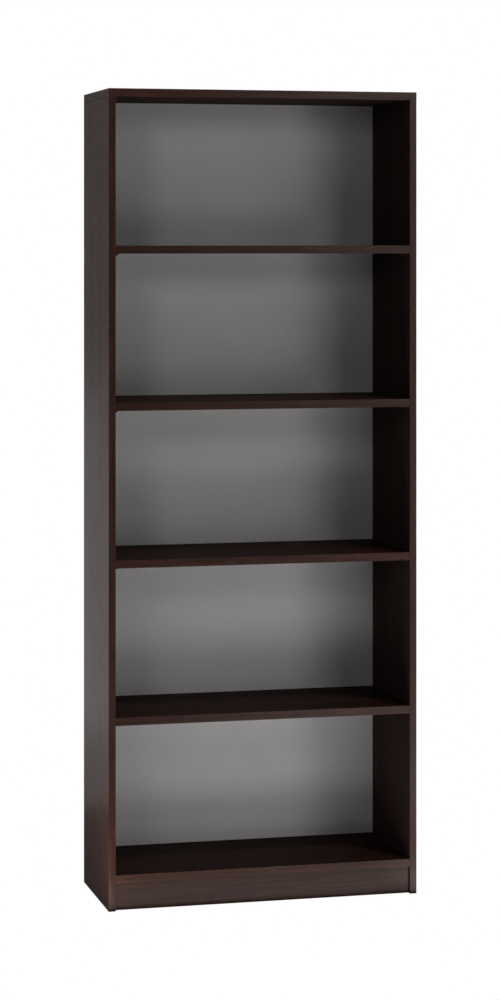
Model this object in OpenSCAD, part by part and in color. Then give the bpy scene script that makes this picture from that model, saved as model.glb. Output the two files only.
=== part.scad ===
// Tall open bookcase in dark wood-grain melamine board, with four shelves on pins.
// X is the width, Y the depth with the open front at -Y, and Z is up from the floor.
// The origin is at the floor, in the middle of the width and the depth.

/* [Case] */
// Width over the two side panels
overall_w = 720; // [600:10:900]
// Depth from the front edges to the rear of the back panel
overall_d = 300; // [296:1:360]
// Thickness of the side panels
side_t = 16; // [16:1:19]
// Thickness of the top, the bottom panel and the shelves
board_t = 18; // [16:1:22]
// Thickness of the hardboard back panel
back_t = 3; // [2.5:0.5:5]
// Thickness of the edging strips
edging_t = 0.8; // [0.4:0.1:2]
// Radius of the edging strips' two outer edges, as a share of their thickness
edging_round = 0.7; // [0.3:0.1:0.9]

/* [Plinth] */
// Height of the bottom panel's underside above the floor
plinth_space = 62; // [55:1:100]
// Thickness of the plinth board
plinth_t = 16; // [16:1:19]
// How far the plinth sits behind the front edges
plinth_setback = 7; // [0:1:40]
// Gap between the plinth and the floor
plinth_gap = 1; // [0:0.5:5]

/* [Shelves] */
// Number of shelves on pins
shelf_count = 4; // [1:1:5]
// Distance from one shelf to the next, in hole steps
shelf_steps = 11; // [8:1:12]
// Holes above and below each shelf's middle hole
spare_holes = 3; // [0:1:3]
// Gap between each shelf end and the side panel
shelf_end_gap = 0.5; // [0.5:0.5:2]
// How far the shelves sit behind the front edges
shelf_setback = 0; // [0:1:20]

/* [Shelf pins] */
// Diameter of the pin's shank
pin_d = 5; // [4:0.5:6]
// Length of the shank in the panel
pin_shank_l = 10; // [8:1:10]
// Length of the tongue under the shelf
pin_tongue_l = 16; // [12:1:20]
// Width of the tongue
pin_tongue_w = 9; // [8:1:12]

/* [Hidden] */
$fn = 32;
hole_pitch = 32;     // the usual distance between the holes of a row
fit = 0.05;          // clearance on a radius between a fitting and its hole
over = 1;            // how far a cutting shape runs past the surface it opens

// Heights and places that follow from the sizes above
pitch_z = shelf_steps * hole_pitch;
bottom_top = plinth_space + board_t;
opening_h = pitch_z - board_t;
side_h = bottom_top + (shelf_count + 1) * opening_h + shelf_count * board_t;
overall_h = side_h + board_t;
half_w = overall_w / 2;
inner_half_w = half_w - side_t;
front_y = -overall_d / 2;
back_y = overall_d / 2;
case_back_y = back_y - back_t;
side_d = case_back_y - front_y;
side_mid_x = half_w - side_t / 2;

// The two vertical rows of holes, 37 mm from the front edge and seven steps behind it
row_front_y = front_y + 37;
row_back_y = row_front_y + 7 * hole_pitch;
rows = [row_front_y, row_back_y];
pin_r = pin_d / 2;
pin_drop = 3;        // a pin's centre line below the shelf
pin_hole_l = 11;
pin_collar_r = 4;
pin_collar_t = 1.2;
pin_tongue_t = 2;
pin_rib_l = 11;

// Cams, their bolts and the dowels
fitting_reach = 34;  // from a joint's face to the cam's centre
cam_r = 7.45;
cam_pocket_r = 7.5;
cam_bolt_h = 4.6;    // the bolt's centre line above the bottom of the cam's pocket
cam_sink = 0.4;      // the cam's face below the panel's face
bolt_thread_r = 2.5;
bolt_thread_l = 10.5;
bolt_hole_l = 11.5;
bolt_bore_r = 4;
dowel_r = 4;
dowel_l = 30;
dowel_short = 11;    // the length of a dowel in the panel that it meets face on
hole_slack = 0.5;    // a blind hole goes this much deeper than what is in it
dowel_rows = [row_front_y + hole_pitch, row_back_y - hole_pitch];
joint_z = plinth_space + board_t / 2;
top_cam_z = side_h - fitting_reach;
bottom_cam_x = inner_half_w - fitting_reach;

// The plinth and its corner blocks
plinth_y = front_y + plinth_setback;
plinth_back_y = plinth_y + plinth_t;
plinth_dowels_z = [plinth_gap + 16, plinth_space - 16];
block_w = 44;
block_leg = 20;
block_wall = 5;
block_screw_at = 12.5;
block_x = overall_w / 4;
screw_r = 1.75;
screw_l = 15;
screw_head_r = 3.4;
screw_head_t = 2;

// The back panel and its nails
back_inset = 2;
back_low_z = plinth_space + back_inset;
nail_r = 0.8;
nail_l = 20;
nail_head_r = 1.9;
nail_head_t = 0.8;
nails_side = 14;
nails_across = 6;

wenge = [0.24, 0.17, 0.15];
wenge_edge = [0.29, 0.2, 0.17];
hardboard = [0.82, 0.82, 0.81];
steel = [0.75, 0.75, 0.76];
zinc = [0.62, 0.62, 0.64];
beech = [0.8, 0.65, 0.45];
brown_plastic = [0.2, 0.13, 0.1];
brown_coat = [0.25, 0.19, 0.17];

SIDES = ["left", "right"];
ENDS = ["front", "back"];
function shelf_name(n) = str("shelf_", n);
function pin_name(n, end, side) = str(shelf_name(n), "_pin_", end, "_", side);
PIN_NODES = [for (n = [1:shelf_count], end = ENDS, side = SIDES) pin_name(n, end, side)];
SHELF_NODES = [for (n = [1:shelf_count], part = ["_board", "_edging"]) str(shelf_name(n), part)];
CASE_NODES = [
    "left_side_panel", "right_side_panel", "top_panel", "bottom_panel", "plinth_board",
    "back_panel", "left_side_edging", "right_side_edging", "top_front_edging",
    "top_left_edging", "top_right_edging", "bottom_panel_edging", "top_cam_bolts",
    "top_cams", "top_cam_covers", "bottom_cam_bolts", "bottom_cams", "top_dowels",
    "bottom_dowels", "plinth_dowels", "plinth_blocks", "plinth_block_screws", "back_nails"
];

// Underside of shelf n, which is 1 at the bottom
function shelf_z(n) = bottom_top + opening_h + (n - 1) * pitch_z;
function pin_z(n) = shelf_z(n) - pin_drop;

// Heights of the nails up the sides, and their places across the top and the bottom panel
nail_low_z = back_low_z + 40;
nail_high_z = overall_h - 40;
side_nails_z = [for (i = [0:nails_side - 1])
    nail_low_z + i * (nail_high_z - nail_low_z) / (nails_side - 1)];
across_nails_x = [for (i = [0:nails_across - 1])
    (i - (nails_across - 1) / 2) * 2 * (inner_half_w - 50) / (nails_across - 1)];
nail_places = concat(
    [for (s = [-1, 1], z = side_nails_z) [s * side_mid_x, z]],
    [for (x = across_nails_x, z = [joint_z, overall_h - board_t / 2]) [x, z]]);

// ---- Shapes that repeat ----

// The shape below is drawn for the left side, and mirrored for the right
module on_side(side) {
    if (side == "left") children();
    else mirror([1, 0, 0]) children();
}

module both_sides() {
    for (side = SIDES) on_side(side) children();
}

// A round hole that starts just outside a face and runs the given depth into it, along +Z
module hole(r, depth) {
    translate([0, 0, -over]) cylinder(r = r, h = depth + over);
}

// Turns +Z to +X, -X, +Y or -Y
module along_x() { rotate([0, 90, 0]) children(); }
module against_x() { rotate([0, -90, 0]) children(); }
module along_y() { rotate([-90, 0, 0]) children(); }
module against_y() { rotate([90, 0, 0]) children(); }

// A box from its low corner to its high corner
module block(low, high) {
    translate(low) cube(high - low);
}

// An edging strip along +Z, width w along +X, with its rounded outer face towards -Y
module strip(w, length) {
    r = edging_round * edging_t;
    intersection() {
        cube([w, edging_t, length]);
        union() {
            translate([0, r, 0]) cube([w, edging_t, length]);
            translate([r, 0, 0]) cube([w - 2 * r, edging_t, length]);
            for (x = [r, w - r]) translate([x, r, 0]) cylinder(r = r, h = length);
        }
    }
}

// A strip on the front edge of a level board, from x = -half_length to x = half_length
module front_strip(half_length, y, low_z) {
    translate([-half_length, y, low_z + board_t]) along_x() strip(board_t, 2 * half_length);
}

// A grooved dowel's outer shape, chamfered at both ends, along +Z
module dowel() {
    chamfer = 1;
    cylinder(r1 = dowel_r - chamfer, r2 = dowel_r, h = chamfer);
    translate([0, 0, chamfer]) cylinder(r = dowel_r, h = dowel_l - 2 * chamfer);
    translate([0, 0, dowel_l - chamfer]) cylinder(r1 = dowel_r, r2 = dowel_r - chamfer, h = chamfer);
}

// A cam bolt: its thread is below z = 0, the joint's face, and its head is at the cam's centre
module cam_bolt() {
    thread_root_r = 1.9;
    thread_turns = 5;
    turn = bolt_thread_l / thread_turns;
    collar_l = 3;
    neck_l = 4.5;
    head_t = 3;
    head_low = fitting_reach - head_t / 2;
    neck_low = head_low - neck_l;
    translate([0, 0, -bolt_thread_l]) {
        cylinder(r = thread_root_r, h = bolt_thread_l);
        for (i = [0:thread_turns - 1]) translate([0, 0, i * turn]) {
            cylinder(r1 = thread_root_r, r2 = bolt_thread_r - fit, h = turn * 0.7);
        }
    }
    cylinder(r = bolt_bore_r - 4 * fit, h = collar_l);
    cylinder(r = 2.9, h = neck_low);
    cylinder(r = 1.9, h = head_low);
    translate([0, 0, head_low]) cylinder(r = 3.3, h = head_t);
}

// A cam disc of a given thickness, with its claw open towards -X and a cross slot in its face
module cam(thickness) {
    claw_half = 3.6;
    slot_l = 9;
    slot_w = 1.5;
    slot_deep = 1.8;
    difference() {
        cylinder(r = cam_r, h = thickness);
        block([-cam_r - over, -claw_half, cam_bolt_h - claw_half],
              [claw_half, claw_half, cam_bolt_h + claw_half]);
        for (a = [0, 90]) rotate([0, 0, a]) {
            block([-slot_l / 2, -slot_w / 2, thickness - slot_deep],
                  [slot_l / 2, slot_w / 2, thickness + over]);
        }
    }
}

// Depth of the cam pocket in a panel of a given thickness, whose bolt runs at mid thickness
function cam_pocket(thickness) = thickness / 2 + cam_bolt_h;

// A pan-head screw with its point up, the underside of its head at z = 0
module screw() {
    point_l = 3;
    drive_w = 0.9;
    drive_l = 3.6;
    drive_deep = 1.2;
    difference() {
        translate([0, 0, -screw_head_t]) {
            cylinder(r1 = screw_head_r * 0.75, r2 = screw_head_r, h = screw_head_t);
        }
        for (a = [0, 90]) rotate([0, 0, a]) {
            block([-drive_l / 2, -drive_w / 2, -screw_head_t - over],
                  [drive_l / 2, drive_w / 2, drive_deep - screw_head_t]);
        }
    }
    cylinder(r = screw_r, h = screw_l - point_l);
    translate([0, 0, screw_l - point_l]) cylinder(r1 = screw_r, r2 = 0.3, h = point_l);
}

// A nail with its head's outer face at z = 0 and its point down
module nail() {
    point_l = 2;
    translate([0, 0, -nail_head_t]) cylinder(r = nail_head_r, h = nail_head_t);
    translate([0, 0, point_l - nail_l]) cylinder(r = nail_r, h = nail_l - point_l - nail_head_t);
    translate([0, 0, -nail_l]) cylinder(r1 = 0.2, r2 = nail_r, h = point_l);
}

// The hole that a nail leaves in the rear edge of a board, from the back panel forwards
module nail_hole() {
    against_y() hole(nail_r + fit, nail_l - back_t + hole_slack);
}

// The nails' places on the rear face, with +Z of each pointing out of it
module at_nails() {
    for (p = nail_places) translate([p.x, back_y, p.y]) along_y() children();
}

// The cams' places at one side's top, with +Z of each pointing out of the panel's inner face
// and -X of each pointing up to the top panel
module at_top_cams() {
    for (y = rows) translate([-inner_half_w, y, top_cam_z]) along_x() children();
}

// The cams' places under the bottom panel, with +Z down and -X towards the side panel
module at_bottom_cams() {
    for (y = rows) translate([-bottom_cam_x, y, plinth_space]) rotate([180, 0, 0]) children();
}

// The plinth blocks' places, with the corner of the plinth and the bottom panel at the origin
module at_plinth_blocks() {
    for (s = [-1, 1]) translate([s * block_x, plinth_back_y, plinth_space]) children();
}

// The screws that go up into the bottom panel, then the one that goes forward into the plinth
module at_block_screws(sink) {
    for (x = [-block_w / 4, block_w / 4]) translate([x, block_screw_at, -sink]) children();
    translate([0, sink, -block_screw_at]) against_y() children();
}

// ---- The case ----

module side_panel(side) {
    color(wenge) on_side(side) difference() {
        block([-half_w, front_y + edging_t, 0], [-inner_half_w, case_back_y, side_h]);
        // rows of shelf-pin holes
        for (n = [1:shelf_count], y = rows, step = [-spare_holes:spare_holes]) {
            translate([-inner_half_w, y, pin_z(n) + step * hole_pitch]) {
                against_x() hole(pin_r + fit, pin_hole_l);
            }
        }
        // cam pockets, and the bores that the cam bolts come down
        at_top_cams() translate([0, 0, -cam_pocket(side_t)]) {
            cylinder(r = cam_pocket_r, h = cam_pocket(side_t) + over);
        }
        for (y = rows) translate([-side_mid_x, y, side_h]) {
            rotate([180, 0, 0]) hole(bolt_bore_r, fitting_reach);
        }
        for (y = dowel_rows) translate([-side_mid_x, y, side_h]) {
            rotate([180, 0, 0]) hole(dowel_r + fit, dowel_l - dowel_short + hole_slack);
        }
        // the bottom panel's bolts and dowels, and the plinth's dowels
        translate([-inner_half_w, 0, joint_z]) {
            for (y = rows) translate([0, y, 0]) against_x() hole(bolt_thread_r, bolt_hole_l);
            for (y = dowel_rows) translate([0, y, 0]) {
                against_x() hole(dowel_r + fit, dowel_short + hole_slack);
            }
        }
        for (z = plinth_dowels_z) translate([-inner_half_w, plinth_y + plinth_t / 2, z]) {
            against_x() hole(dowel_r + fit, dowel_short + hole_slack);
        }
        for (z = side_nails_z) translate([-side_mid_x, case_back_y, z]) nail_hole();
    }
}

module side_edging(side) {
    color(wenge_edge) on_side(side) translate([-half_w, front_y, 0]) strip(side_t, side_h);
}

module top_panel() {
    color(wenge) difference() {
        block([-half_w + edging_t, front_y + edging_t, side_h],
              [half_w - edging_t, case_back_y, overall_h]);
        both_sides() translate([-side_mid_x, 0, side_h]) {
            for (y = rows) translate([0, y, 0]) hole(bolt_thread_r, bolt_hole_l);
            for (y = dowel_rows) translate([0, y, 0]) hole(dowel_r + fit, dowel_short + hole_slack);
        }
        for (x = across_nails_x) translate([x, case_back_y, overall_h - board_t / 2]) nail_hole();
    }
}

module top_front_edging() {
    color(wenge_edge) front_strip(half_w, front_y, side_h);
}

module top_end_edging(side) {
    color(wenge_edge) on_side(side) translate([-half_w, front_y + edging_t, side_h]) {
        along_y() rotate([0, 0, -90]) strip(board_t, side_d - edging_t);
    }
}

module bottom_panel() {
    color(wenge) difference() {
        block([-inner_half_w, front_y + edging_t, plinth_space],
              [inner_half_w, case_back_y, bottom_top]);
        both_sides() {
            at_bottom_cams() translate([0, 0, -cam_pocket(board_t)]) {
                cylinder(r = cam_pocket_r, h = cam_pocket(board_t) + over);
            }
            translate([-inner_half_w, 0, joint_z]) {
                for (y = rows) translate([0, y, 0]) along_x() hole(bolt_bore_r, fitting_reach);
                for (y = dowel_rows) translate([0, y, 0]) {
                    along_x() hole(dowel_r + fit, dowel_l - dowel_short + hole_slack);
                }
            }
        }
        at_plinth_blocks() at_block_screws(block_wall) cylinder(r = screw_r + fit, h = screw_l);
        for (x = across_nails_x) translate([x, case_back_y, joint_z]) nail_hole();
    }
}

module bottom_panel_edging() {
    color(wenge_edge) front_strip(inner_half_w, front_y, plinth_space);
}

module plinth_board() {
    color(wenge) difference() {
        block([-inner_half_w, plinth_y, plinth_gap], [inner_half_w, plinth_back_y, plinth_space]);
        both_sides() for (z = plinth_dowels_z) {
            translate([-inner_half_w, plinth_y + plinth_t / 2, z]) {
                along_x() hole(dowel_r + fit, dowel_l - dowel_short + hole_slack);
            }
        }
        at_plinth_blocks() at_block_screws(block_wall) cylinder(r = screw_r + fit, h = screw_l);
    }
}

module back_panel() {
    color(hardboard) difference() {
        block([back_inset - half_w, case_back_y, back_low_z],
              [half_w - back_inset, back_y, overall_h - back_inset]);
        at_nails() {
            translate([0, 0, -back_t - over]) cylinder(r = nail_r + fit, h = back_t + 2 * over);
            translate([0, 0, -nail_head_t]) cylinder(r = nail_head_r + fit, h = nail_head_t + over);
        }
    }
}

// ---- The shelves ----

module shelf_board(n) {
    color(wenge) {
        block([shelf_end_gap - inner_half_w, front_y + shelf_setback + edging_t, shelf_z(n)],
              [inner_half_w - shelf_end_gap, case_back_y - 1, shelf_z(n) + board_t]);
    }
}

module shelf_edging(n) {
    color(wenge_edge) {
        front_strip(inner_half_w - shelf_end_gap, front_y + shelf_setback, shelf_z(n));
    }
}

// One shelf pin for the left side: its hole's mouth is at the origin and the case's inside is +X
module shelf_pin() {
    tip_r = pin_tongue_w / 2;
    along_x() translate([0, 0, -pin_shank_l]) cylinder(r = pin_r, h = pin_shank_l + pin_rib_l);
    translate([0, 0, pin_drop - pin_tongue_t]) linear_extrude(pin_tongue_t) {
        translate([0, -tip_r]) square([pin_tongue_l - tip_r, pin_tongue_w]);
        translate([pin_tongue_l - tip_r, 0]) circle(r = tip_r);
    }
    intersection() {
        along_x() cylinder(r = pin_collar_r, h = pin_collar_t);
        block([-over, -pin_collar_r - over, -pin_collar_r - over],
              [pin_collar_t + over, pin_collar_r + over, pin_drop]);
    }
}

module placed_pin(n, end, side) {
    y = (end == "front") ? row_front_y : row_back_y;
    color(brown_coat) on_side(side) translate([-inner_half_w, y, pin_z(n)]) shelf_pin();
}

// ---- Fittings ----

module top_cams() {
    thickness = cam_pocket(side_t) - cam_sink;
    color(zinc) both_sides() at_top_cams() translate([0, 0, -cam_pocket(side_t)]) cam(thickness);
}

module top_cam_bolts() {
    color(steel) both_sides() for (y = rows) {
        translate([-side_mid_x, y, side_h]) rotate([180, 0, 0]) cam_bolt();
    }
}

// Press-in caps that hide the cams inside the top compartment
module top_cam_covers() {
    cap_r = 8.8;
    cap_t = 1;
    color(brown_plastic) both_sides() at_top_cams() {
        cylinder(r1 = cap_r, r2 = cap_r - 0.7, h = cap_t);
    }
}

module bottom_cams() {
    thickness = cam_pocket(board_t) - cam_sink;
    color(zinc) both_sides() at_bottom_cams() translate([0, 0, -cam_pocket(board_t)]) cam(thickness);
}

module bottom_cam_bolts() {
    color(steel) both_sides() for (y = rows) {
        translate([-inner_half_w, y, joint_z]) along_x() cam_bolt();
    }
}

module top_dowels() {
    color(beech) both_sides() for (y = dowel_rows) {
        translate([-side_mid_x, y, side_h + dowel_short - dowel_l]) dowel();
    }
}

module bottom_dowels() {
    color(beech) both_sides() for (y = dowel_rows) {
        translate([-inner_half_w - dowel_short, y, joint_z]) along_x() dowel();
    }
}

module plinth_dowels() {
    color(beech) both_sides() for (z = plinth_dowels_z) {
        translate([-inner_half_w - dowel_short, plinth_y + plinth_t / 2, z]) along_x() dowel();
    }
}

module plinth_blocks() {
    color(brown_plastic) at_plinth_blocks() difference() {
        translate([-block_w / 2, 0, 0]) rotate([90, 0, 90]) linear_extrude(block_w) {
            polygon([[0, 0], [block_leg, 0], [block_leg, -block_wall],
                     [block_wall, -block_leg], [0, -block_leg]]);
        }
        at_block_screws(block_leg + over) {
            cylinder(r = screw_r + fit, h = block_leg + 2 * over);
            cylinder(r = screw_head_r + 3 * fit, h = block_leg + over - block_wall);
        }
    }
}

module plinth_block_screws() {
    color(steel) at_plinth_blocks() at_block_screws(block_wall) screw();
}

module back_nails() {
    color(steel) at_nails() nail();
}

// ---- Nodes ----

side_panel("left");  // left_side_panel
side_panel("right");  // right_side_panel
top_panel();
bottom_panel();
plinth_board();
back_panel();
side_edging("left");  // left_side_edging
side_edging("right");  // right_side_edging
top_front_edging();
top_end_edging("left");  // top_left_edging
top_end_edging("right");  // top_right_edging
bottom_panel_edging();
top_cam_bolts();
top_cams();
top_cam_covers();
bottom_cam_bolts();
bottom_cams();
top_dowels();
bottom_dowels();
plinth_dowels();
plinth_blocks();
plinth_block_screws();
back_nails();
for (n = [1:shelf_count]) {
    shelf_board(n);
    shelf_edging(n);
    for (end = ENDS, side = SIDES) {
        placed_pin(n, end, side);
    }
}
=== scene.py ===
"""Looks of the bookcase: board, edging, hardboard and fitting materials, and a plain white studio.

Metres, +Z up, the open front faces -Y. Every piece is a CAD node from the frame, with one material.
"""

import math

import bpy
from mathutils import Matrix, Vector


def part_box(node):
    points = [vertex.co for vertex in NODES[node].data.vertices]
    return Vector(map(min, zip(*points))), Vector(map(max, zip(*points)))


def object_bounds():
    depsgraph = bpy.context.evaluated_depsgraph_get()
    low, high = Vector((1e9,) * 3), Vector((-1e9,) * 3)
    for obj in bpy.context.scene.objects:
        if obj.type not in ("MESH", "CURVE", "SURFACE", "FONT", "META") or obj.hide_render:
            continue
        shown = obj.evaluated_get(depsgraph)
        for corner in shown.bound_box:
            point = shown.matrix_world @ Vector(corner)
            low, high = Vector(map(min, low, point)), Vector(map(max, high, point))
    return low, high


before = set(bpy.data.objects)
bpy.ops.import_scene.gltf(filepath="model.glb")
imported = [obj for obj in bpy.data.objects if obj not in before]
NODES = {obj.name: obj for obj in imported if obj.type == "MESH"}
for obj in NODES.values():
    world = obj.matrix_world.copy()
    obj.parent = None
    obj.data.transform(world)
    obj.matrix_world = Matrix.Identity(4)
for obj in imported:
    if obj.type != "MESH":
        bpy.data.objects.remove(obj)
cad_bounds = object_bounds()

# ---- Sizes taken from the frame ----

MM = 0.001
LOW, HIGH = (Vector(corner) for corner in cad_bounds)
HEIGHT = HIGH.z - LOW.z
SHELVES = sorted({name.split("_")[1] for name in NODES if name.startswith("shelf_")})
PIN_NODES = sorted(name for name in NODES if "_pin_" in name)
X_AXIS, Y_AXIS, Z_AXIS = 0, 1, 2


# ---- The looks' own values ----

# Linear colours of the wood print, from its pores to where it is rubbed
WENGE_PORE = (0.0094, 0.0030, 0.0018)
WENGE_DARK = (0.0273, 0.0092, 0.0055)
WENGE_LIGHT = (0.0468, 0.0163, 0.0098)
WENGE_WORN = (0.0944, 0.0479, 0.0305)

# Particle board, from its pits to its palest flakes
CHIP_PIT = (0.11, 0.062, 0.034)
CHIP_DARK = (0.33, 0.21, 0.115)
CHIP_PALE = (0.56, 0.40, 0.25)

# The back panel's lacquered front and its bare rear
LACQUER = (0.866, 0.846, 0.840)
FIBRE_DARK = (0.115, 0.060, 0.030)
FIBRE_LIGHT = (0.245, 0.145, 0.078)

# Fittings
ZINC_PLATE = (0.62, 0.62, 0.61)
ZINC_PLATE_DULL = (0.46, 0.46, 0.47)
DIE_CAST = (0.46, 0.46, 0.47)
DIE_CAST_DULL = (0.34, 0.34, 0.35)
COAT_DARK = (0.020, 0.011, 0.008)
COAT_LIGHT = (0.030, 0.017, 0.013)
COAT_RUBBED = (0.110, 0.085, 0.070)
PLASTIC_DARK = (0.019, 0.009, 0.006)
PLASTIC_LIGHT = (0.030, 0.014, 0.010)
BEECH_DARK = (0.50, 0.32, 0.18)
BEECH_LIGHT = (0.66, 0.46, 0.28)
BEECH_RAY = (0.28, 0.15, 0.08)

# Finishes of the printed faces: roughness, specular level and the print's brightness. The brightness is
# painted light: the one print is painted lighter on the outer faces and strips, and darker, as painted
# shade, on the shelves and inner faces
SATIN = {"roughness": 0.27, "level": 0.30, "tone": 1.20}   # the side panels, their print painted lighter
FRONT = {"roughness": 0.27, "level": 0.29, "tone": 1.26}   # the strips and the plinth board, their print painted lightest
TOP = {"roughness": 0.50, "level": 0.20, "tone": 1.0}      # the top panel
MATT = {"roughness": 0.60, "level": 0.050, "tone": 0.68}   # the shelves and the bottom panel, their print painted darker as painted shade
INNER = {"roughness": 0.85, "tone": 0.82}                  # the inner faces of the sides and the top, duller and painted darker as painted shade

SKIN = 0.35 * MM                     # the printed melamine on a board's two faces
LACQUER_DEPTH = 0.4 * MM             # the back panel is bare behind this
SWAY = 12.0 * MM                     # how widely the grain wanders sideways
MESH_PITCH = 2.4 * MM                # of the print on the hardboard's rear
BOARD_WEAR = 1.3 * MM                # a board's rubbed border
STRIP_WEAR = 0.9 * MM                # a strip's rubbed border
JOINT_SHADE_LINE = (1.0 * MM, 2.2 * MM)    # the painted shade line of a butt joint fades out between these
RAW_EDGE = (12.0 * MM, 16.0 * MM)    # chipboard is pale this near to the edges, and painted darker further in, as painted shade in the holes
STRIP_STRIPES = 0.4                  # the share of the print's broad stripes that a strip shows


# ---- A short way to write shader nodes ----

class Shader:
    """A material's node tree. Inputs are sockets or constants, and results are sockets."""

    def __init__(self, name):
        self.material = bpy.data.materials.new(name)
        self.material.use_nodes = True
        self.tree = self.material.node_tree
        self.tree.nodes.clear()
        self.place = self.add("ShaderNodeTexCoord").outputs["Object"]

    def add(self, kind, **settings):
        node = self.tree.nodes.new(kind)
        for key, value in settings.items():
            setattr(node, key, value)
        return node

    def feed(self, socket, value):
        if isinstance(value, bpy.types.NodeSocket):
            self.tree.links.new(value, socket)
        else:
            socket.default_value = value

    def math(self, operation, a, b=0.0, c=0.0):
        node = self.add("ShaderNodeMath", operation=operation)
        for socket, value in zip(node.inputs, (a, b, c)):
            self.feed(socket, value)
        return node.outputs[0]

    def vector(self, operation, a, b=(0.0, 0.0, 0.0)):
        node = self.add("ShaderNodeVectorMath", operation=operation)
        self.feed(node.inputs[0], a)
        self.feed(node.inputs[1], b)
        return node.outputs[0]

    def split(self, vector):
        node = self.add("ShaderNodeSeparateXYZ")
        self.feed(node.inputs[0], vector)
        return node.outputs

    def noise(self, place, scale=1.0, detail=2.0, roughness=0.5):
        node = self.add("ShaderNodeTexNoise")
        self.feed(node.inputs["Vector"], place)
        node.inputs["Scale"].default_value = scale
        node.inputs["Detail"].default_value = detail
        node.inputs["Roughness"].default_value = roughness
        return node.outputs["Fac"]

    def cells(self, place, scale=1.0):
        node = self.add("ShaderNodeTexVoronoi")
        self.feed(node.inputs["Vector"], place)
        node.inputs["Scale"].default_value = scale
        return node.outputs

    def remap(self, value, low, high, to_low=0.0, to_high=1.0):
        """The value's smooth step from one range to another."""
        node = self.add("ShaderNodeMapRange", interpolation_type="SMOOTHSTEP")
        for socket, item in zip(node.inputs, (value, low, high, to_low, to_high)):
            self.feed(socket, item)
        return node.outputs[0]

    def mix(self, share, a, b):
        node = self.add("ShaderNodeMix", data_type="RGBA")
        self.feed(node.inputs[0], share)
        self.feed(node.inputs[6], a)
        self.feed(node.inputs[7], b)
        return node.outputs[2]

    def shade(self, colour, brightness):
        """The colour times a brightness."""
        node = self.add("ShaderNodeVectorMath", operation="SCALE")
        self.feed(node.inputs[0], colour)
        self.feed(node.inputs["Scale"], brightness)
        return node.outputs[0]

    def bump(self, height, depth):
        node = self.add("ShaderNodeBump")
        node.inputs["Distance"].default_value = depth
        self.feed(node.inputs["Height"], height)
        return node.outputs["Normal"]

    def finish(self, colour, roughness, normal, metallic=0.0, **constants):
        bsdf = self.add("ShaderNodeBsdfPrincipled")
        self.feed(bsdf.inputs["Base Color"], colour)
        self.feed(bsdf.inputs["Roughness"], roughness)
        self.feed(bsdf.inputs["Normal"], normal)
        self.feed(bsdf.inputs["Metallic"], metallic)
        for key, value in constants.items():
            bsdf.inputs[key.replace("_", " ")].default_value = value
        output = self.add("ShaderNodeOutputMaterial")
        self.tree.links.new(bsdf.outputs[0], output.inputs["Surface"])
        return self.material


def rgb(red, green, blue):
    """A linear colour for a socket, fully opaque."""
    return (red, green, blue, 1.0)


# ---- Materials ----

def edge_closeness(shader, low, high):
    """About the distance from a face's point to the nearest edge of its box, in metres.

    It is the middle one of the three distances to the box's sides, since on a face one of them is 0.
    """
    middle, half = (low + high) / 2, (high - low) / 2
    offset = shader.vector("ABSOLUTE", shader.vector("SUBTRACT", shader.place, middle))
    depth = shader.split(shader.vector("SUBTRACT", half, offset))
    smaller = shader.math("MINIMUM", depth[0], depth[1])
    larger = shader.math("MAXIMUM", depth[0], depth[1])
    return shader.math("MAXIMUM", smaller, shader.math("MINIMUM", larger, depth[2]))


def grain_place(shader, along, seed, stretch):
    """Places for a grain along one axis, drawn out that way and in metres across it.

    The seed gives each piece its own stretch of the print.
    """
    own_place = shader.vector("ADD", shader.place, (seed, 3.1 * seed, -seed))
    wander = shader.noise(own_place, scale=1.7, detail=1.0)
    sway = shader.math("MULTIPLY", shader.math("SUBTRACT", wander, 0.5), SWAY)
    shift = shader.add("ShaderNodeCombineXYZ")
    for axis in range(3):
        shader.feed(shift.inputs[axis], 0.0 if axis == along else sway)
    swayed = shader.vector("ADD", shader.place, shift.outputs[0])
    moved = shader.vector("ADD", swayed, (seed * 0.71, seed * 1.37, seed * 2.11))
    scale = [1.0, 1.0, 1.0]
    scale[along] = 1.0 / stretch
    return shader.vector("MULTIPLY", moved, tuple(scale))


def wenge_layers(shader, along, seed, wide_share=1.0):
    """The printed grain: (colour, added roughness, height).

    The wide share is how much of the broad stripes shows.
    """
    long_place = grain_place(shader, along, seed, stretch=45.0)
    short_place = grain_place(shader, along, seed + 5.0, stretch=18.0)
    broad = shader.noise(long_place, scale=15.0, detail=1.0)
    bands = shader.noise(long_place, scale=46.0, detail=2.0, roughness=0.55)
    strips = shader.noise(long_place, scale=125.0, detail=2.0, roughness=0.5)
    streaks = shader.noise(long_place, scale=330.0, detail=3.0, roughness=0.62)
    veins = shader.noise(long_place, scale=900.0, detail=2.0, roughness=0.5)
    pores = shader.remap(shader.noise(short_place, scale=1500.0, detail=1.0), 0.60, 0.70)
    light = shader.remap(streaks, 0.36, 0.66)
    base = shader.mix(light, rgb(*WENGE_DARK), rgb(*WENGE_LIGHT))
    full_wide_tone = shader.math("MULTIPLY",
                                 shader.remap(broad, 0.32, 0.68, 0.80, 1.20),
                                 shader.remap(bands, 0.30, 0.70, 0.83, 1.19))
    wide_tone = shader.math("MULTIPLY_ADD", full_wide_tone, wide_share, 1.0 - wide_share)
    fine_tone = shader.math("MULTIPLY",
                            shader.remap(strips, 0.30, 0.70, 0.82, 1.19),
                            shader.remap(veins, 0.30, 0.70, 0.86, 1.12))
    toned = shader.shade(base, shader.math("MULTIPLY", wide_tone, fine_tone))
    colour = shader.mix(shader.math("MULTIPLY", pores, 0.6), toned, rgb(*WENGE_PORE))
    smudge = shader.noise(shader.place, scale=5.0, detail=1.0)
    smudge_dull = shader.remap(smudge, 0.3, 0.7, -0.012, 0.016)
    dull = shader.math("MULTIPLY_ADD", pores, 0.14, smudge_dull)
    height = shader.math("SUBTRACT", shader.math("MULTIPLY", streaks, 0.35), pores)
    return colour, dull, height


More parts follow.
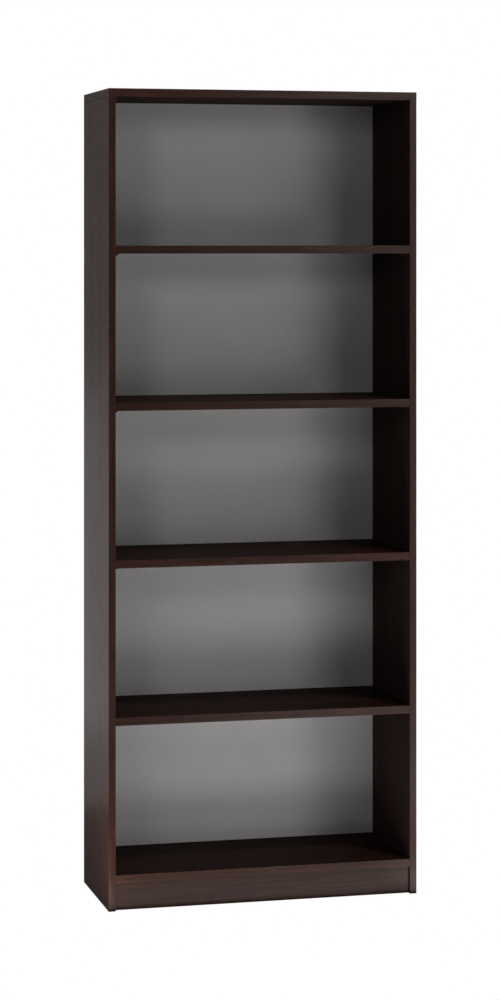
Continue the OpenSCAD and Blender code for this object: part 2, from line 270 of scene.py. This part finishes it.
def chipboard_layers(shader, near_edge):
    """Raw particle board, pale on a cut edge and with painted shade darkening the holes: (colour,
    roughness, height).
    """
    flakes = shader.cells(shader.vector("MULTIPLY", shader.place, (1.0, 1.0, 1.6)), scale=620.0)
    fine = shader.noise(shader.place, scale=1400.0, detail=3.0, roughness=0.6)
    pits = shader.remap(shader.noise(shader.place, scale=480.0, detail=2.0), 0.60, 0.72)
    tint = shader.split(flakes["Color"])[0]
    pale = shader.mix(tint, rgb(*CHIP_DARK), rgb(*CHIP_PALE))
    colour = shader.mix(shader.math("MULTIPLY", pits, 0.75), pale, rgb(*CHIP_PIT))
    # Painted shade: the hole walls, far from the board's edges, are painted darker
    hole_shade = shader.remap(near_edge, *RAW_EDGE, 1.0, 0.28)
    brightness = shader.math("MULTIPLY", shader.remap(fine, 0.3, 0.7, 0.8, 1.15), hole_shade)
    lit = shader.shade(colour, brightness)
    height = shader.math("SUBTRACT", shader.math("MULTIPLY", fine, 0.5), pits)
    return lit, 0.86, height


def board_material(name, low, high, along, thin, seed, finish, inner=None, joint_height=None):
    """A melamine-faced board: wood print on its two faces, raw chipboard on cut edges and in holes.

    The face towards the middle of the bookcase can have a finish of its own, duller and painted darker as
    painted shade: for the top that is its underside, which is nearer to the floor. A joint height puts a
    painted shade line, standing for the shade in a butt joint, just under that height.
    """
    shader = Shader(name)
    colour, dull, height = wenge_layers(shader, along, seed)
    near_edge = edge_closeness(shader, low, high)
    core_colour, core_rough, core_height = chipboard_layers(shader, near_edge)
    middle = (low[thin] + high[thin]) / 2
    half = (high[thin] - low[thin]) / 2
    depth = shader.math("ABSOLUTE", shader.math("SUBTRACT", shader.split(shader.place)[thin], middle))
    skin = shader.math("GREATER_THAN", depth, half - SKIN)
    scuffs = shader.noise(shader.place, scale=160.0, detail=3.0, roughness=0.7)
    wear = shader.math("MULTIPLY",
                       shader.remap(near_edge, 0.0, BOARD_WEAR, 1.0, 0.0),
                       shader.remap(scuffs, 0.48, 0.68))
    worn = shader.mix(shader.math("MULTIPLY", wear, 0.35), colour, rgb(*WENGE_WORN))
    rough = shader.math("ADD",
                        shader.math("ADD", dull, finish["roughness"]),
                        shader.math("MULTIPLY", wear, 0.15))
    # Painted light: the finish's tone brightens or darkens the print, and the inner face is painted darker
    # as painted shade
    tone = finish["tone"]
    if inner:
        out = shader.math("ABSOLUTE", shader.split(shader.place)[thin])
        is_inner = shader.math("LESS_THAN", out, abs(middle))
        rough = shader.math("MULTIPLY_ADD", is_inner, inner["roughness"] - finish["roughness"], rough)
        tone = shader.math("MULTIPLY_ADD", is_inner, inner["tone"] - finish["tone"], finish["tone"])
    # Painted shade: a dark, duller line just under the joint height stands for the shade in the butt
    # joint's gap
    if joint_height is not None:
        below = shader.math("SUBTRACT", joint_height, shader.split(shader.place)[Z_AXIS])
        line = shader.remap(below, *JOINT_SHADE_LINE, 1.0, 0.0)
        rough = shader.math("MULTIPLY_ADD", line, 0.5, rough)
        tone = shader.math("MULTIPLY", tone, shader.math("MULTIPLY_ADD", line, -0.85, 1.0))
    face = shader.mix(skin, core_colour, shader.shade(worn, tone))
    face_rough = shader.math("MULTIPLY_ADD", skin, shader.math("SUBTRACT", rough, core_rough), core_rough)
    core_share = shader.math("SUBTRACT", 1.0, skin)
    relief = shader.math("ADD",
                         shader.math("MULTIPLY", height, shader.math("MULTIPLY", skin, 0.10)),
                         shader.math("MULTIPLY", core_height, core_share))
    normal = shader.bump(relief, 0.35 * MM)
    return shader.finish(face, face_rough, normal, Specular_IOR_Level=finish["level"])


def edging_material(name, low, high, along, seed, finish):
    """The thin strip on a board's edge: the same print, painted lighter as painted light, and lighter
    still where it has been rubbed.
    """
    shader = Shader(name)
    colour, dull, height = wenge_layers(shader, along, seed, wide_share=STRIP_STRIPES)
    near_edge = edge_closeness(shader, low, high)
    scuffs = shader.noise(shader.place, scale=210.0, detail=3.0, roughness=0.7)
    wear = shader.math("MULTIPLY",
                       shader.remap(near_edge, 0.0, STRIP_WEAR, 1.0, 0.0),
                       shader.remap(scuffs, 0.42, 0.66))
    # Painted light: the strip's print is painted lighter by the finish's tone
    toned = shader.shade(colour, finish["tone"])
    worn = shader.mix(shader.math("MULTIPLY", wear, 0.45), toned, rgb(*WENGE_WORN))
    rough = shader.math("ADD",
                        shader.math("ADD", dull, finish["roughness"]),
                        shader.math("MULTIPLY", wear, 0.12))
    normal = shader.bump(shader.math("MULTIPLY", height, 0.12), 0.35 * MM)
    return shader.finish(worn, rough, normal, Specular_IOR_Level=finish["level"])


def hardboard_material(front_y):
    """The back panel: off-white lacquer towards the front, bare brown fibre with a mesh print behind."""
    shader = Shader("hardboard")
    x, y, z = shader.split(shader.place)
    rear = shader.math("GREATER_THAN", y, front_y + LACQUER_DEPTH)
    fibre_place = shader.vector("MULTIPLY", shader.place, (1.0, 1.0, 0.6))
    fibres = shader.noise(fibre_place, scale=520.0, detail=4.0, roughness=0.65)
    cloud = shader.noise(shader.place, scale=6.0, detail=3.0, roughness=0.55)
    peel = shader.noise(shader.place, scale=820.0, detail=2.0, roughness=0.5)
    roller_place = shader.vector("MULTIPLY", shader.place, (1.0, 1.0, 0.04))
    roller = shader.noise(roller_place, scale=240.0, detail=2.0)
    tone = shader.math("ADD",
                       shader.remap(cloud, 0.3, 0.7, 0.975, 1.02),
                       shader.remap(peel, 0.3, 0.7, -0.02, 0.02))
    lacquer_tone = shader.math("ADD", tone, shader.remap(roller, 0.3, 0.7, -0.003, 0.003))
    lacquer = shader.shade(LACQUER, lacquer_tone)
    mesh_u = shader.math("SINE", shader.math("MULTIPLY", x, 2.0 * math.pi / MESH_PITCH))
    mesh_v = shader.math("SINE", shader.math("MULTIPLY", z, 2.0 * math.pi / MESH_PITCH))
    mesh = shader.math("MULTIPLY", mesh_u, mesh_v)
    brown = shader.mix(fibres, rgb(*FIBRE_DARK), rgb(*FIBRE_LIGHT))
    fibre_tone = shader.math("MULTIPLY",
                             shader.remap(mesh, -1.0, 1.0, 0.86, 1.08),
                             shader.remap(cloud, 0.3, 0.7, 0.88, 1.1))
    bare = shader.shade(brown, fibre_tone)
    colour = shader.mix(rear, lacquer, bare)
    rough = shader.math("MULTIPLY_ADD", rear, 0.36, shader.remap(peel, 0.3, 0.7, 0.46, 0.54))
    front_height = shader.math("MULTIPLY", peel, 0.05)
    rear_height = shader.math("MULTIPLY_ADD", mesh, 0.30, shader.math("MULTIPLY", fibres, 0.35))
    rear_rise = shader.math("SUBTRACT", rear_height, front_height)
    relief = shader.math("MULTIPLY_ADD", rear, rear_rise, front_height)
    normal = shader.bump(relief, 0.4 * MM)
    return shader.finish(colour, rough, normal, Specular_IOR_Level=0.25)


def metal_material(name, tint, dull_tint, roughness, scratch_scale):
    """A plated fitting with fine scratches, a slight bloom and duller spots."""
    shader = Shader(name)
    scratch_place = shader.vector("MULTIPLY", shader.place, (1.0, 0.12, 0.5))
    fine = shader.noise(scratch_place, scale=scratch_scale, detail=3.0, roughness=0.6)
    bloom = shader.noise(shader.place, scale=180.0, detail=3.0, roughness=0.6)
    spots = shader.remap(bloom, 0.52, 0.72)
    colour = shader.mix(spots, rgb(*tint), rgb(*dull_tint))
    lit = shader.shade(colour, shader.remap(fine, 0.3, 0.7, 0.92, 1.05))
    rough = shader.math("ADD",
                        shader.remap(fine, 0.3, 0.7, roughness - 0.05, roughness + 0.07),
                        shader.math("MULTIPLY", spots, 0.15))
    return shader.finish(lit, rough, shader.bump(fine, 0.02 * MM), metallic=1.0)


def coated_material():
    """The shelf pins: steel under a dark brown coat, rubbed paler in places by the holes."""
    shader = Shader("brown_coat")
    peel = shader.noise(shader.place, scale=1800.0, detail=2.0, roughness=0.5)
    rub_place = shader.vector("MULTIPLY", shader.place, (0.2, 1.0, 1.0))
    rubs = shader.noise(rub_place, scale=900.0, detail=3.0, roughness=0.65)
    coat = shader.mix(shader.remap(peel, 0.3, 0.7), rgb(*COAT_DARK), rgb(*COAT_LIGHT))
    colour = shader.mix(shader.remap(rubs, 0.62, 0.76, 0.0, 0.45), coat, rgb(*COAT_RUBBED))
    rough = shader.math("ADD",
                        shader.remap(peel, 0.3, 0.7, 0.40, 0.50),
                        shader.remap(rubs, 0.62, 0.76, 0.0, -0.10))
    return shader.finish(colour, rough, shader.bump(peel, 0.02 * MM), Specular_IOR_Level=0.35)


def plastic_material():
    """Brown moulded plastic with a fine spark-eroded texture."""
    shader = Shader("brown_plastic")
    grain = shader.noise(shader.place, scale=2600.0, detail=2.0, roughness=0.6)
    flow = shader.noise(shader.place, scale=60.0, detail=2.0)
    colour = shader.mix(shader.remap(flow, 0.3, 0.7), rgb(*PLASTIC_DARK), rgb(*PLASTIC_LIGHT))
    rough = shader.remap(grain, 0.3, 0.7, 0.66, 0.80)
    return shader.finish(colour, rough, shader.bump(grain, 0.03 * MM), Specular_IOR_Level=0.15)


def beech_material():
    """Raw beech dowel, pale and pinkish with short dark rays."""
    shader = Shader("beech")
    ray_place = shader.vector("MULTIPLY", shader.place, (1.0, 1.0, 0.25))
    rays = shader.noise(ray_place, scale=1100.0, detail=2.0)
    rings = shader.noise(shader.place, scale=140.0, detail=2.0)
    base = shader.mix(shader.remap(rings, 0.3, 0.7), rgb(*BEECH_DARK), rgb(*BEECH_LIGHT))
    colour = shader.mix(shader.remap(rays, 0.58, 0.72, 0.0, 0.5), base, rgb(*BEECH_RAY))
    rough = shader.remap(rays, 0.3, 0.7, 0.55, 0.7)
    return shader.finish(colour, rough, shader.bump(rays, 0.05 * MM))


def paint(node, material):
    """Gives a CAD node its one material."""
    NODES[node].data.materials.clear()
    NODES[node].data.materials.append(material)


def paint_boards():
    """Every board gets its own stretch of the print, along its length."""
    # (node, the grain's axis, the axis across the faces, finish with the print's painted brightness,
    # finish and painted shade of the inner face)
    plan = [
        ("left_side_panel", Z_AXIS, X_AXIS, SATIN, INNER),
        ("right_side_panel", Z_AXIS, X_AXIS, SATIN, INNER),
        ("top_panel", X_AXIS, Z_AXIS, TOP, INNER),
        ("bottom_panel", X_AXIS, Z_AXIS, MATT, None),
        ("plinth_board", X_AXIS, Y_AXIS, FRONT, None),
    ]
    for number in SHELVES:
        plan.append((f"shelf_{number}_board", X_AXIS, Z_AXIS, MATT, None))
    for index, (node, along, thin, finish, inner) in enumerate(plan):
        low, high = (Vector(corner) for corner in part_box(node))
        name, seed = f"wenge_{node}", 1.0 + 1.93 * index
        # The side panels get the painted shade line under their top edge, where the top meets them
        joint_height = high.z if node.endswith("side_panel") else None
        paint(node, board_material(name, low, high, along, thin, seed, finish, inner, joint_height))


def paint_edging():
    """The strips, each with the print along its length."""
    strips = sorted(name for name in NODES if name.endswith("_edging"))
    for index, node in enumerate(strips):
        low, high = (Vector(corner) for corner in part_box(node))
        size = high - low
        along = max(range(3), key=lambda axis: size[axis])
        name, seed = f"wenge_{node}", 30.0 + 1.71 * index
        paint(node, edging_material(name, low, high, along, seed, FRONT))


def paint_back_panel():
    """The lacquer is on the face towards the open front, at the panel's lowest Y."""
    low, _ = (Vector(corner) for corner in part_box("back_panel"))
    paint("back_panel", hardboard_material(front_y=low.y))


def paint_fittings():
    """Pins, bolts, cams, screws, nails, dowels and plastic pieces."""
    coat = coated_material()
    steel = metal_material("zinc_plate", ZINC_PLATE, ZINC_PLATE_DULL, roughness=0.34, scratch_scale=1900.0)
    zinc = metal_material("die_cast_zinc", DIE_CAST, DIE_CAST_DULL, roughness=0.46, scratch_scale=1300.0)
    plastic = plastic_material()
    beech = beech_material()
    for node in PIN_NODES:
        paint(node, coat)
    for node in ("top_cam_bolts", "bottom_cam_bolts", "plinth_block_screws", "back_nails"):
        paint(node, steel)
    for node in ("top_cams", "bottom_cams"):
        paint(node, zinc)
    for node in ("top_cam_covers", "plinth_blocks"):
        paint(node, plastic)
    for node in ("top_dowels", "bottom_dowels", "plinth_dowels"):
        paint(node, beech)


# ---- Studio ----

FLOOR_GREY = 0.50               # to the lights
FLOOR_REACH = 40.0
AMBIENT = 0.035                 # the even light's strength

LIGHT_DISTANCE = 5.0            # of the key and the soft boxes from the bookcase's axis
SOFT_BOX_SIZE = (0.95, 0.90)
GLOW_HEIGHT = 1.0 * MM          # of the glowing patches above the floor
KEY_WAY = (-1.43, 2.20, -3.34)  # the key shines down and back from high in front, on the right
KEY_SIZE = 0.35
KEY_POWER = 62.0

CAMERA_PLACE = (-1.5616, -6.1937, 1.4925)
CAMERA_TURN = math.radians(14.18)
CAMERA_LENS = 99.2              # mm, as the sensor's width
CAMERA_SENSOR = 36.0
CAMERA_SHIFT = -0.2564


def studio_floor():
    """A floor that is plain white to the camera and a matt mid grey to the lights."""
    material = bpy.data.materials.new("studio_floor")
    material.use_nodes = True
    tree = material.node_tree
    tree.nodes.clear()
    rays = tree.nodes.new("ShaderNodeLightPath")
    matt = tree.nodes.new("ShaderNodeBsdfDiffuse")
    matt.inputs["Color"].default_value = rgb(FLOOR_GREY, FLOOR_GREY, FLOOR_GREY)
    white = tree.nodes.new("ShaderNodeEmission")
    white.inputs["Strength"].default_value = 1.0
    choice = tree.nodes.new("ShaderNodeMixShader")
    output = tree.nodes.new("ShaderNodeOutputMaterial")
    tree.links.new(rays.outputs["Is Camera Ray"], choice.inputs[0])
    tree.links.new(matt.outputs[0], choice.inputs[1])
    tree.links.new(white.outputs[0], choice.inputs[2])
    tree.links.new(choice.outputs[0], output.inputs["Surface"])
    reach = FLOOR_REACH
    mesh = bpy.data.meshes.new("studio_floor")
    corners = [(-reach, -reach, 0.0), (reach, -reach, 0.0), (reach, reach, 0.0), (-reach, reach, 0.0)]
    mesh.from_pydata(corners, [], [(0, 1, 2, 3)])
    mesh.materials.append(material)
    floor = bpy.data.objects.new("studio_floor", mesh)
    bpy.context.scene.collection.objects.link(floor)


def studio_world():
    """White to the camera, and a dim even light for everything else."""
    world = bpy.data.worlds.new("studio")
    bpy.context.scene.world = world
    world.use_nodes = True
    tree = world.node_tree
    tree.nodes.clear()
    rays = tree.nodes.new("ShaderNodeLightPath")
    strength = tree.nodes.new("ShaderNodeMix")
    strength.inputs[2].default_value = AMBIENT
    strength.inputs[3].default_value = 1.0
    background = tree.nodes.new("ShaderNodeBackground")
    background.inputs["Color"].default_value = rgb(1.0, 1.0, 1.0)
    output = tree.nodes.new("ShaderNodeOutputWorld")
    tree.links.new(rays.outputs["Is Camera Ray"], strength.inputs[0])
    tree.links.new(strength.outputs[0], background.inputs["Strength"])
    tree.links.new(background.outputs[0], output.inputs["Surface"])


def area_light(name, place, towards, width, height, power):
    """A soft rectangular light that the camera doesn't see."""
    data = bpy.data.lights.new(name, "AREA")
    data.shape = "RECTANGLE"
    data.size, data.size_y = width, height
    data.energy = power
    light = bpy.data.objects.new(name, data)
    light.location = place
    light.rotation_mode = "QUATERNION"
    light.rotation_quaternion = Vector(towards).to_track_quat("-Z", "Y")
    light.visible_camera = False
    bpy.context.scene.collection.objects.link(light)


def soft_box(name, azimuth, height, power):
    """A soft box that shines level. Azimuth 0 is in front of the bookcase, and 90 to its right."""
    turn = math.radians(azimuth)
    towards = Vector((-math.sin(turn), math.cos(turn), 0.0))
    place = Vector((0.0, 0.0, height)) - LIGHT_DISTANCE * towards
    area_light(name, place, towards, *SOFT_BOX_SIZE, power)


def floor_glow(name, low, high, power):
    """A patch of brightly lit floor, from its low corner (x, y) to its high one."""
    middle = ((low[0] + high[0]) / 2, (low[1] + high[1]) / 2, GLOW_HEIGHT)
    area_light(name, middle, (0.0, 0.0, 1.0), high[0] - low[0], high[1] - low[1], power)


def studio_lights():
    """The key, the backdrop and boxes that give the boards their sheen, and the light off the floor."""
    key_way = Vector(KEY_WAY).normalized()
    key_place = Vector((0.0, 0.0, HEIGHT / 2)) - LIGHT_DISTANCE * key_way
    area_light("key", key_place, key_way, KEY_SIZE, KEY_SIZE, KEY_POWER)
    area_light("backdrop_left", place=(-1.9, 9.8, 3.0), towards=(0.19, -0.98, 0.0),
               width=7.0, height=6.0, power=13.9)
    soft_box("behind_left", -115.0, 1.10, 80.0)
    soft_box("high_left", -30.0, 2.50, 11.8)
    soft_box("high_middle", 22.0, 2.50, 9.2)
    soft_box("high_right", 44.0, 2.50, 5.6)
    soft_box("middle_right", 22.0, 1.35, 2.6)
    soft_box("low_right", 32.0, 0.45, 13.7)
    floor_glow("floor_near_left", (-0.90, -0.42), (-0.36, -0.17), 2.4)
    floor_glow("floor_near", (-0.36, -0.42), (0.36, -0.17), 0.72)
    floor_glow("floor_near_right", (0.36, -0.42), (0.90, -0.17), 1.07)
    floor_glow("floor_front_right", (0.1, -1.8), (1.1, -0.75), 7.7)
    floor_glow("floor_far", (0.4, -4.0), (1.9, -1.8), 5.0)
    floor_glow("floor_far_right", (1.9, -4.0), (4.0, -1.8), 3.6)
    floor_glow("floor_behind_near", (-2.2, 1.0), (0.2, 2.2), 1.4)
    floor_glow("floor_behind", (-3.0, 2.2), (0.4, 4.5), 7.5)
    floor_glow("floor_behind_far", (-4.5, 4.5), (0.5, 9.0), 22.9)
    floor_glow("floor_horizon", (-9.0, 9.0), (0.5, 22.0), 86.0)


def photo_camera():
    """Level, a little left of the middle, with the lens shifted down to the bookcase."""
    data = bpy.data.cameras.new("camera")
    data.lens = CAMERA_LENS
    data.sensor_width = CAMERA_SENSOR
    data.shift_y = CAMERA_SHIFT
    camera = bpy.data.objects.new("camera", data)
    camera.location = CAMERA_PLACE
    camera.rotation_euler = (math.pi / 2, 0.0, -CAMERA_TURN)
    bpy.context.scene.collection.objects.link(camera)
    bpy.context.scene.camera = camera


def plain_view():
    """Colours as they are, with no film look."""
    settings = bpy.context.scene.view_settings
    settings.view_transform = "Standard"
    settings.look = "None"
    settings.exposure = 0.0
    settings.gamma = 1.0


paint_boards()
paint_edging()
paint_back_panel()
paint_fittings()
studio_floor()
studio_world()
studio_lights()
photo_camera()
plain_view()
